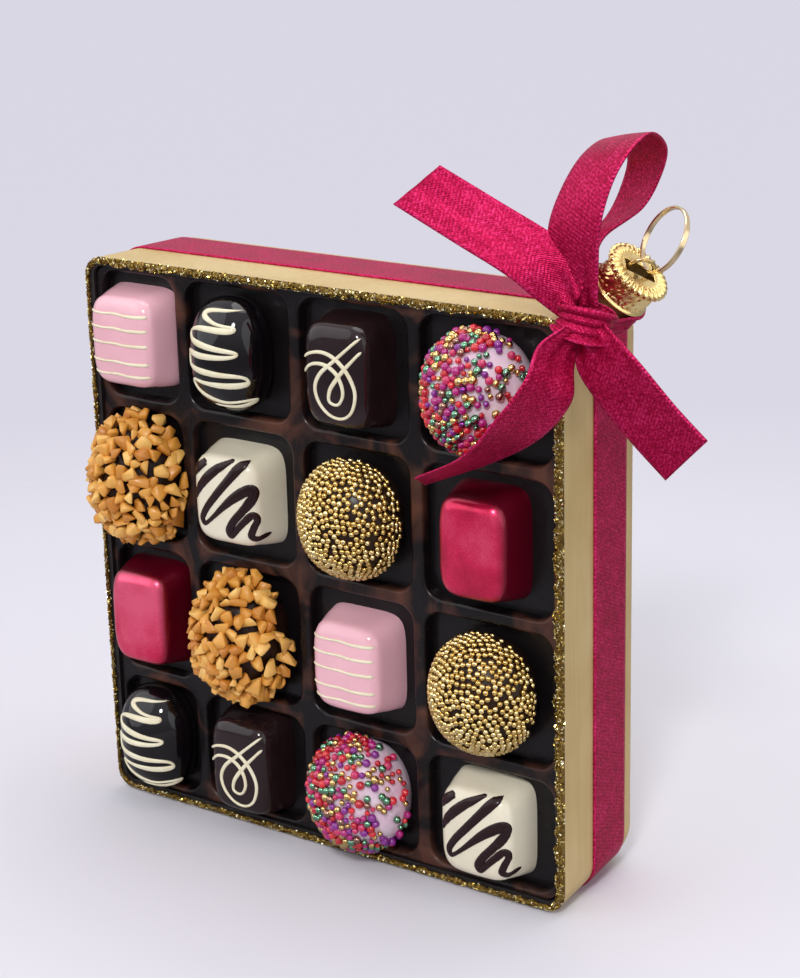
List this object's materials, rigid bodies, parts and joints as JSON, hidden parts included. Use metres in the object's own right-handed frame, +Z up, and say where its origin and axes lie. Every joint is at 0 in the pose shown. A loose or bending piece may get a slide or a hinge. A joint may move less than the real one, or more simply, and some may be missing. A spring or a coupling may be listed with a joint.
{
  "type": "hanging ornament",
  "caption": "Hanging tree ornament shaped like an open box of painted chocolates, with a ribbon bow, stamped hanger cap and loose ring on one corner.",
  "frame": {"origin": "middle of the case's width and depth, on the plane it stands on (the underside of the ribbon)", "axes": "+Z up, -Y towards the open front with the chocolates, +X towards the hanger's side"},
  "size_m": [0.1188, 0.0414, 0.1279],
  "materials": {
    "gold_case": "painted matte champagne gold",
    "dark_tray": "painted gloss dark brown",
    "gold_glitter": "glitter",
    "pink_chocolate": "painted satin pink with cream lines",
    "white_chocolate": "painted satin cream with a dark zigzag",
    "dark_chocolate": "painted gloss dark brown with cream lines",
    "red_foil": "painted metallic satin red",
    "lilac_sprinkle": "painted, under coloured beads",
    "gold_bead": "painted, under gold beads",
    "chopped_nut": "glittering crumbs",
    "satin_ribbon": "satin weave",
    "gold_metal": "bright stamped",
    "spring_wire": "plain wire"
  },
  "bodies": {
    "ornament": {"box_case": "gold_case", "tray_panel": "dark_tray", "glitter_edge": "gold_glitter", "ribbon_band": "satin_ribbon", "ribbon_neck_wrap": "satin_ribbon", "bow_knot": "satin_ribbon", "bow_tail_upper": "satin_ribbon", "bow_tail_front": "satin_ribbon", "bow_tail_side": "satin_ribbon", "bow_loop": "satin_ribbon", "pink_square_1": "pink_chocolate", "white_square_1": "white_chocolate", "dark_square_1": "dark_chocolate", "dark_oval_1": "dark_chocolate", "foil_square_1": "red_foil", "sprinkle_truffle_1": "lilac_sprinkle", "gold_truffle_1": "gold_bead", "nut_truffle_1": "dark_chocolate", "nut_chips_1": "chopped_nut", "pink_square_2": "pink_chocolate", "white_square_2": "white_chocolate", "dark_square_2": "dark_chocolate", "dark_oval_2": "dark_chocolate", "foil_square_2": "red_foil", "sprinkle_truffle_2": "lilac_sprinkle", "gold_truffle_2": "gold_bead", "nut_truffle_2": "dark_chocolate", "nut_chips_2": "chopped_nut"},
    "cap": {"hanger_cap": "gold_metal", "spring_clip": "spring_wire"},
    "ring": {"hanger_ring": "gold_metal"}
  },
  "joints": [
    {"name": "cap_pull", "type": "slide", "parent": "ornament", "child": "cap", "axis": [0.7071, 0, 0.7071], "range_m": [0, 0.012]},
    {"name": "ring_swing", "type": "hinge", "parent": "cap", "child": "ring", "pos_m": [0.05394, 0.001, 0.10634], "axis": [0.661, -0.6545, -0.367], "range_deg": [-60, 60]}
  ]
}
